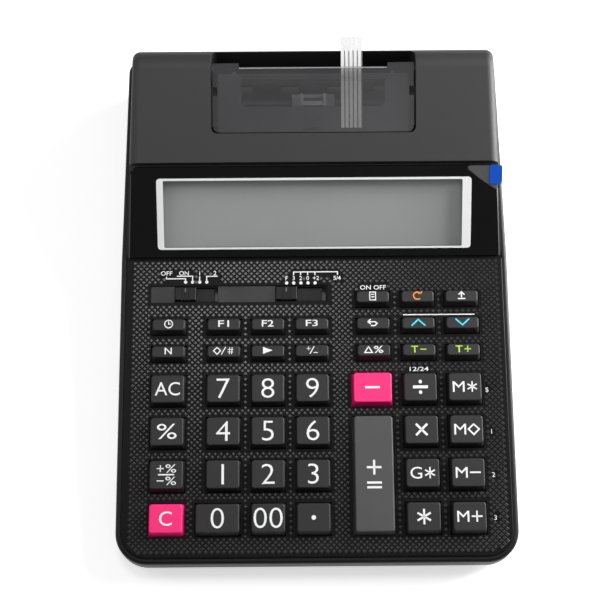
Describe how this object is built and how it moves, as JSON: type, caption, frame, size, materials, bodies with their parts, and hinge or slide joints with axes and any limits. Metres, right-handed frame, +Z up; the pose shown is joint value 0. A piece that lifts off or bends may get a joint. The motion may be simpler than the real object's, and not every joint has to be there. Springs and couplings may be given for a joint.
{
  "type": "printing desk calculator",
  "caption": "Printing desk calculator: tilted textured keypad, sloped display window and a rear hump that holds a small paper printer under a hinged smoked cover.",
  "frame": {"origin": "on the desk, under the middle of the case", "axes": "+X to the user's right, +Y from the user towards the back, +Z up"},
  "size_m": [0.165, 0.224, 0.0648],
  "materials": {
    "case_dark": "fine satin",
    "case_grey": "fine matte",
    "keypad_texture": "raised diamond texture",
    "window_black": "polished",
    "lcd_glass": "reflective grey",
    "smoked_clear": "smoked, polished",
    "key_grey": "fine matte",
    "key_pink": "fine matte",
    "key_light": "fine matte",
    "membrane_rubber": "translucent grey",
    "board_green": "solder mask",
    "mechanism_grey": "moulded",
    "carriage_white": "moulded",
    "ink_felt": "inked",
    "roller_rubber": "ground",
    "cell_steel": "wrapped",
    "foot_rubber": "moulded"
  },
  "bodies": {
    "case": {"lower_case": "case_dark", "upper_case": "case_grey", "keypad_panel": "keypad_texture", "display_window": "window_black", "lcd_panel": "lcd_glass", "printer_frame": "mechanism_grey", "key_membrane": "membrane_rubber", "main_board": "board_green", "battery_cells": "cell_steel", "rubber_feet": "foot_rubber"},
    "printer_cover": {"printer_cover": "smoked_clear"},
    "print_carriage": {"print_carriage": "carriage_white", "ink_roller": "ink_felt"},
    "feed_roller": {"feed_roller": "roller_rubber"},
    "battery_door": {"battery_door": "case_dark"},
    "mode_switch_knob": {"mode_switch_knob": "case_grey"},
    "decimal_switch_knob": {"decimal_switch_knob": "case_grey"},
    "key_print": {"key_print": "key_grey"},
    "key_reprint": {"key_reprint": "key_grey"},
    "key_paper_feed": {"key_paper_feed": "key_grey"},
    "key_time": {"key_time": "key_grey"},
    "key_cost": {"key_cost": "key_grey"},
    "key_sell": {"key_sell": "key_grey"},
    "key_margin": {"key_margin": "key_grey"},
    "key_correct": {"key_correct": "key_grey"},
    "key_step_up": {"key_step_up": "key_grey"},
    "key_step_down": {"key_step_down": "key_grey"},
    "key_items": {"key_items": "key_grey"},
    "key_subtotal": {"key_subtotal": "key_grey"},
    "key_backspace": {"key_backspace": "key_grey"},
    "key_change_sign": {"key_change_sign": "key_grey"},
    "key_delta": {"key_delta": "key_grey"},
    "key_tax_minus": {"key_tax_minus": "key_grey"},
    "key_tax_plus": {"key_tax_plus": "key_grey"},
    "key_clear_all": {"key_clear_all": "key_grey"},
    "key_seven": {"key_seven": "key_grey"},
    "key_eight": {"key_eight": "key_grey"},
    "key_nine": {"key_nine": "key_grey"},
    "key_minus": {"key_minus": "key_pink"},
    "key_divide": {"key_divide": "key_grey"},
    "key_memory_total": {"key_memory_total": "key_grey"},
    "key_percent": {"key_percent": "key_grey"},
    "key_four": {"key_four": "key_grey"},
    "key_five": {"key_five": "key_grey"},
    "key_six": {"key_six": "key_grey"},
    "key_plus_equals": {"key_plus_equals": "key_light"},
    "key_multiply": {"key_multiply": "key_grey"},
    "key_memory_subtotal": {"key_memory_subtotal": "key_grey"},
    "key_mark_up": {"key_mark_up": "key_grey"},
    "key_one": {"key_one": "key_grey"},
    "key_two": {"key_two": "key_grey"},
    "key_three": {"key_three": "key_grey"},
    "key_grand_total": {"key_grand_total": "key_grey"},
    "key_memory_minus": {"key_memory_minus": "key_grey"},
    "key_clear": {"key_clear": "key_pink"},
    "key_zero": {"key_zero": "key_grey"},
    "key_double_zero": {"key_double_zero": "key_grey"},
    "key_point": {"key_point": "key_grey"},
    "key_total": {"key_total": "key_grey"},
    "key_memory_plus": {"key_memory_plus": "key_grey"}
  },
  "joints": [
    {"name": "cover_hinge", "type": "hinge", "parent": "case", "child": "printer_cover", "pos_m": [0, 0.08858, 0.06127], "axis": [-1, 0, 0], "range_deg": [0, 75]},
    {"name": "carriage_slide", "type": "slide", "parent": "case", "child": "print_carriage", "axis": [1, 0, 0], "range_m": [-0.023, 0.023]},
    {"name": "feed_roller_spin", "type": "hinge", "parent": "case", "child": "feed_roller", "pos_m": [0, 0.08942, 0.04681], "axis": [1, 0, 0], "continuous": true},
    {"name": "battery_door_slide", "type": "slide", "parent": "case", "child": "battery_door", "axis": [0, 1, 0], "range_m": [0, 0.0087]},
    {"name": "mode_switch_slide", "type": "slide", "parent": "case", "child": "mode_switch_knob", "axis": [1, 0, 0], "range_m": [0, 0.009]},
    {"name": "decimal_switch_slide", "type": "slide", "parent": "case", "child": "decimal_switch_knob", "axis": [1, 0, 0], "range_m": [0, 0.012]},
    {"name": "key_print_press", "type": "slide", "parent": "case", "child": "key_print", "axis": [0, 0.1097, -0.994], "range_m": [0, 0.0018], "stiffness_N_per_m": 250},
    {"name": "key_reprint_press", "type": "slide", "parent": "case", "child": "key_reprint", "axis": [0, 0.1097, -0.994], "range_m": [0, 0.0018], "stiffness_N_per_m": 250},
    {"name": "key_paper_feed_press", "type": "slide", "parent": "case", "child": "key_paper_feed", "axis": [0, 0.1097, -0.994], "range_m": [0, 0.0018], "stiffness_N_per_m": 250},
    {"name": "key_time_press", "type": "slide", "parent": "case", "child": "key_time", "axis": [0, 0.1097, -0.994], "range_m": [0, 0.0018], "stiffness_N_per_m": 250},
    {"name": "key_cost_press", "type": "slide", "parent": "case", "child": "key_cost", "axis": [0, 0.1097, -0.994], "range_m": [0, 0.0018], "stiffness_N_per_m": 250},
    {"name": "key_sell_press", "type": "slide", "parent": "case", "child": "key_sell", "axis": [0, 0.1097, -0.994], "range_m": [0, 0.0018], "stiffness_N_per_m": 250},
    {"name": "key_margin_press", "type": "slide", "parent": "case", "child": "key_margin", "axis": [0, 0.1097, -0.994], "range_m": [0, 0.0018], "stiffness_N_per_m": 250},
    {"name": "key_correct_press", "type": "slide", "parent": "case", "child": "key_correct", "axis": [0, 0.1097, -0.994], "range_m": [0, 0.0018], "stiffness_N_per_m": 250},
    {"name": "key_step_up_press", "type": "slide", "parent": "case", "child": "key_step_up", "axis": [0, 0.1097, -0.994], "range_m": [0, 0.0018], "stiffness_N_per_m": 250},
    {"name": "key_step_down_press", "type": "slide", "parent": "case", "child": "key_step_down", "axis": [0, 0.1097, -0.994], "range_m": [0, 0.0018], "stiffness_N_per_m": 250},
    {"name": "key_items_press", "type": "slide", "parent": "case", "child": "key_items", "axis": [0, 0.1097, -0.994], "range_m": [0, 0.0018], "stiffness_N_per_m": 250},
    {"name": "key_subtotal_press", "type": "slide", "parent": "case", "child": "key_subtotal", "axis": [0, 0.1097, -0.994], "range_m": [0, 0.0018], "stiffness_N_per_m": 250},
    {"name": "key_backspace_press", "type": "slide", "parent": "case", "child": "key_backspace", "axis": [0, 0.1097, -0.994], "range_m": [0, 0.0018], "stiffness_N_per_m": 250},
    {"name": "key_change_sign_press", "type": "slide", "parent": "case", "child": "key_change_sign", "axis": [0, 0.1097, -0.994], "range_m": [0, 0.0018], "stiffness_N_per_m": 250},
    {"name": "key_delta_press", "type": "slide", "parent": "case", "child": "key_delta", "axis": [0, 0.1097, -0.994], "range_m": [0, 0.0018], "stiffness_N_per_m": 250},
    {"name": "key_tax_minus_press", "type": "slide", "parent": "case", "child": "key_tax_minus", "axis": [0, 0.1097, -0.994], "range_m": [0, 0.0018], "stiffness_N_per_m": 250},
    {"name": "key_tax_plus_press", "type": "slide", "parent": "case", "child": "key_tax_plus", "axis": [0, 0.1097, -0.994], "range_m": [0, 0.0018], "stiffness_N_per_m": 250},
    {"name": "key_clear_all_press", "type": "slide", "parent": "case", "child": "key_clear_all", "axis": [0, 0.1097, -0.994], "range_m": [0, 0.0018], "stiffness_N_per_m": 250},
    {"name": "key_seven_press", "type": "slide", "parent": "case", "child": "key_seven", "axis": [0, 0.1097, -0.994], "range_m": [0, 0.0018], "stiffness_N_per_m": 250},
    {"name": "key_eight_press", "type": "slide", "parent": "case", "child": "key_eight", "axis": [0, 0.1097, -0.994], "range_m": [0, 0.0018], "stiffness_N_per_m": 250},
    {"name": "key_nine_press", "type": "slide", "parent": "case", "child": "key_nine", "axis": [0, 0.1097, -0.994], "range_m": [0, 0.0018], "stiffness_N_per_m": 250},
    {"name": "key_minus_press", "type": "slide", "parent": "case", "child": "key_minus", "axis": [0, 0.1097, -0.994], "range_m": [0, 0.0018], "stiffness_N_per_m": 250},
    {"name": "key_divide_press", "type": "slide", "parent": "case", "child": "key_divide", "axis": [0, 0.1097, -0.994], "range_m": [0, 0.0018], "stiffness_N_per_m": 250},
    {"name": "key_memory_total_press", "type": "slide", "parent": "case", "child": "key_memory_total", "axis": [0, 0.1097, -0.994], "range_m": [0, 0.0018], "stiffness_N_per_m": 250},
    {"name": "key_percent_press", "type": "slide", "parent": "case", "child": "key_percent", "axis": [0, 0.1097, -0.994], "range_m": [0, 0.0018], "stiffness_N_per_m": 250},
    {"name": "key_four_press", "type": "slide", "parent": "case", "child": "key_four", "axis": [0, 0.1097, -0.994], "range_m": [0, 0.0018], "stiffness_N_per_m": 250},
    {"name": "key_five_press", "type": "slide", "parent": "case", "child": "key_five", "axis": [0, 0.1097, -0.994], "range_m": [0, 0.0018], "stiffness_N_per_m": 250},
    {"name": "key_six_press", "type": "slide", "parent": "case", "child": "key_six", "axis": [0, 0.1097, -0.994], "range_m": [0, 0.0018], "stiffness_N_per_m": 250},
    {"name": "key_plus_equals_press", "type": "slide", "parent": "case", "child": "key_plus_equals", "axis": [0, 0.1097, -0.994], "range_m": [0, 0.0018], "stiffness_N_per_m": 250},
    {"name": "key_multiply_press", "type": "slide", "parent": "case", "child": "key_multiply", "axis": [0, 0.1097, -0.994], "range_m": [0, 0.0018], "stiffness_N_per_m": 250},
    {"name": "key_memory_subtotal_press", "type": "slide", "parent": "case", "child": "key_memory_subtotal", "axis": [0, 0.1097, -0.994], "range_m": [0, 0.0018], "stiffness_N_per_m": 250},
    {"name": "key_mark_up_press", "type": "slide", "parent": "case", "child": "key_mark_up", "axis": [0, 0.1097, -0.994], "range_m": [0, 0.0018], "stiffness_N_per_m": 250},
    {"name": "key_one_press", "type": "slide", "parent": "case", "child": "key_one", "axis": [0, 0.1097, -0.994], "range_m": [0, 0.0018], "stiffness_N_per_m": 250},
    {"name": "key_two_press", "type": "slide", "parent": "case", "child": "key_two", "axis": [0, 0.1097, -0.994], "range_m": [0, 0.0018], "stiffness_N_per_m": 250},
    {"name": "key_three_press", "type": "slide", "parent": "case", "child": "key_three", "axis": [0, 0.1097, -0.994], "range_m": [0, 0.0018], "stiffness_N_per_m": 250},
    {"name": "key_grand_total_press", "type": "slide", "parent": "case", "child": "key_grand_total", "axis": [0, 0.1097, -0.994], "range_m": [0, 0.0018], "stiffness_N_per_m": 250},
    {"name": "key_memory_minus_press", "type": "slide", "parent": "case", "child": "key_memory_minus", "axis": [0, 0.1097, -0.994], "range_m": [0, 0.0018], "stiffness_N_per_m": 250},
    {"name": "key_clear_press", "type": "slide", "parent": "case", "child": "key_clear", "axis": [0, 0.1097, -0.994], "range_m": [0, 0.0018], "stiffness_N_per_m": 250},
    {"name": "key_zero_press", "type": "slide", "parent": "case", "child": "key_zero", "axis": [0, 0.1097, -0.994], "range_m": [0, 0.0018], "stiffness_N_per_m": 250},
    {"name": "key_double_zero_press", "type": "slide", "parent": "case", "child": "key_double_zero", "axis": [0, 0.1097, -0.994], "range_m": [0, 0.0018], "stiffness_N_per_m": 250},
    {"name": "key_point_press", "type": "slide", "parent": "case", "child": "key_point", "axis": [0, 0.1097, -0.994], "range_m": [0, 0.0018], "stiffness_N_per_m": 250},
    {"name": "key_total_press", "type": "slide", "parent": "case", "child": "key_total", "axis": [0, 0.1097, -0.994], "range_m": [0, 0.0018], "stiffness_N_per_m": 250},
    {"name": "key_memory_plus_press", "type": "slide", "parent": "case", "child": "key_memory_plus", "axis": [0, 0.1097, -0.994], "range_m": [0, 0.0018], "stiffness_N_per_m": 250}
  ]
}
